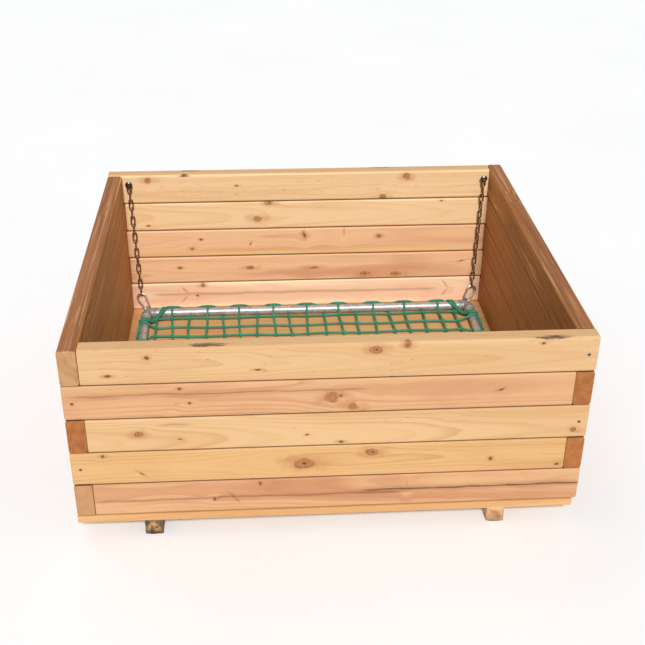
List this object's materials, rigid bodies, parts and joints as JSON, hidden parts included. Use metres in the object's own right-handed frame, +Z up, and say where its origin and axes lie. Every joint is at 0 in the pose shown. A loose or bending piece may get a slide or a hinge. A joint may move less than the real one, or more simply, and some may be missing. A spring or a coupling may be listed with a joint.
{
  "type": "plank box with hanging net cover",
  "caption": "Open box of stacked rounded planks on two skids, with a rope net on a pipe frame inside as its cover, hung on two chains from the back wall.",
  "frame": {"origin": "middle of the footprint, on the ground under the skids", "axes": "+X to the right seen from the front, which is the box's longest side, +Y to the back wall that carries the chains, +Z up"},
  "size_m": [1.25, 1.1, 0.54],
  "materials": {
    "plank_straw": "planed softwood, straw coloured with small knots",
    "plank_pink": "planed softwood, pinkish heartwood streaks",
    "plank_golden": "planed softwood, golden",
    "plank_brown": "planed softwood, reddish-brown heartwood",
    "floor_wood": "light orange softwood panel",
    "skid_dark": "weathered dark brown timber",
    "skid_tan": "light tan timber",
    "dowel_wood": "turned beech",
    "screw_dark": "dark passivated steel",
    "chain_steel": "galvanised steel gone brown",
    "hook_steel": "bright zinc-plated steel",
    "pipe_steel": "galvanised pipe",
    "net_cord": "green braided cord"
  },
  "bodies": {
    "root": {"front_plank_1": "plank_straw", "front_plank_2": "plank_pink", "front_plank_3": "plank_straw", "front_plank_4": "plank_golden", "front_plank_5": "plank_pink", "back_plank_1": "plank_straw", "back_plank_2": "plank_straw", "back_plank_3": "plank_pink", "back_plank_4": "plank_pink", "back_plank_5": "plank_golden", "left_plank_1": "plank_brown", "left_plank_2": "plank_brown", "left_plank_3": "plank_brown", "left_plank_4": "plank_brown", "left_plank_5": "plank_brown", "right_plank_1": "plank_brown", "right_plank_2": "plank_brown", "right_plank_3": "plank_brown", "right_plank_4": "plank_brown", "right_plank_5": "plank_brown", "floor_panel": "floor_wood", "left_skid": "skid_dark", "right_skid": "skid_tan", "front_corner_screws": "screw_dark", "back_corner_screws": "screw_dark", "left_corner_screws": "screw_dark", "right_corner_screws": "screw_dark", "base_screws": "screw_dark", "skid_screws": "screw_dark", "course_dowels": "dowel_wood", "left_chain_screw": "screw_dark", "right_chain_screw": "screw_dark"},
    "cover": {"front_pipe": "pipe_steel", "back_pipe": "pipe_steel", "left_pipe": "pipe_steel", "right_pipe": "pipe_steel", "front_left_elbow": "pipe_steel", "front_right_elbow": "pipe_steel", "back_left_elbow": "pipe_steel", "back_right_elbow": "pipe_steel", "left_eye": "pipe_steel", "right_eye": "pipe_steel", "net": "net_cord"},
    "left_chain": {"left_chain": "chain_steel"},
    "left_end_link": {"left_end_link": "chain_steel"},
    "left_hook": {"left_hook": "hook_steel", "left_hook_rivet": "hook_steel"},
    "left_gate": {"left_hook_gate": "hook_steel"},
    "right_chain": {"right_chain": "chain_steel"},
    "right_end_link": {"right_end_link": "chain_steel"},
    "right_hook": {"right_hook": "hook_steel", "right_hook_rivet": "hook_steel"},
    "right_gate": {"right_hook_gate": "hook_steel"}
  },
  "joints": [
    {"name": "left_chain_swing", "type": "hinge", "parent": "root", "child": "left_chain", "pos_m": [-0.56, 0.493, 0.51521], "axis": [0, 1, 0], "range_deg": [-2, 2]},
    {"name": "left_end_link_turn", "type": "hinge", "parent": "left_chain", "child": "left_end_link", "pos_m": [-0.55074, 0.493, 0.15843], "axis": [0, 1, 0], "range_deg": [-2.1, 2.1]},
    {"name": "left_hook_lean", "type": "hinge", "parent": "left_end_link", "child": "left_hook", "pos_m": [-0.55001, 0.493, 0.13044], "axis": [-1, 0, 0], "range_deg": [0, 29]},
    {"name": "left_gate_turn", "type": "hinge", "parent": "left_hook", "child": "left_gate", "pos_m": [-0.52813, 0.47895, 0.09891], "axis": [0, -0.9135, 0.4069], "range_deg": [0, 16], "stiffness_Nm_per_rad": 0.01, "springref_deg": -5.73},
    {"name": "right_chain_swing", "type": "hinge", "parent": "root", "child": "right_chain", "pos_m": [0.56, 0.493, 0.51521], "axis": [0, 1, 0], "range_deg": [-2, 2]},
    {"name": "right_end_link_turn", "type": "hinge", "parent": "right_chain", "child": "right_end_link", "pos_m": [0.55074, 0.493, 0.15843], "axis": [0, 1, 0], "range_deg": [-2.1, 2.1]},
    {"name": "right_hook_lean", "type": "hinge", "parent": "right_end_link", "child": "right_hook", "pos_m": [0.55001, 0.493, 0.13044], "axis": [-1, 0, 0], "range_deg": [0, 29]},
    {"name": "right_gate_turn", "type": "hinge", "parent": "right_hook", "child": "right_gate", "pos_m": [0.52813, 0.47895, 0.09891], "axis": [0, 0.9135, -0.4069], "range_deg": [0, 16], "stiffness_Nm_per_rad": 0.01, "springref_deg": -5.73},
    {"name": "cover_tilt", "type": "hinge", "parent": "left_hook", "child": "cover", "pos_m": [-0.534, 0.472, 0.0833], "axis": [-1, 0, 0], "range_deg": [0, 64]}
  ],
  "couplings": [
    {"joint": "right_chain_swing", "follows": "left_chain_swing", "ratio": 1},
    {"joint": "left_end_link_turn", "follows": "left_chain_swing", "ratio": -1.0173},
    {"joint": "right_end_link_turn", "follows": "left_chain_swing", "ratio": -1.0173},
    {"joint": "left_hook_lean", "follows": "cover_tilt", "ratio": 0.4375},
    {"joint": "right_hook_lean", "follows": "cover_tilt", "ratio": 0.4375}
  ]
}
